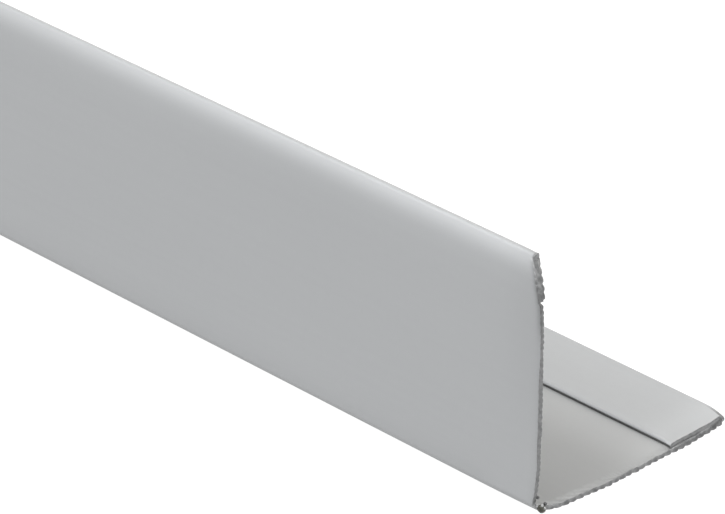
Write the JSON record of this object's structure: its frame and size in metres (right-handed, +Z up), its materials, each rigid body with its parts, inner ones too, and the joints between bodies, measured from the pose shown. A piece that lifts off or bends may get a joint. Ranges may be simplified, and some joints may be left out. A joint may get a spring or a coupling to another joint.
{
  "type": "corner guard moulding",
  "caption": "Long L-shaped corner guard moulding of thin coated sheet steel, both edges hemmed to the inside, that covers and protects an outside wall corner.",
  "frame": {"origin": "middle of the stock's length, under the middle of the lying leg, on the floor it lies on", "axes": "+X along the stock towards the hand-sawn end, +Y from the outer corner towards the tip of the lying leg, +Z up the upright leg"},
  "size_m": [1.22, 0.03, 0.03],
  "materials": {
    "coated_steel": "smooth light grey coil coating, satin, bare grey steel at the sawn end"
  },
  "bodies": {
    "root": {"corner_guard": "coated_steel"}
  },
  "joints": []
}
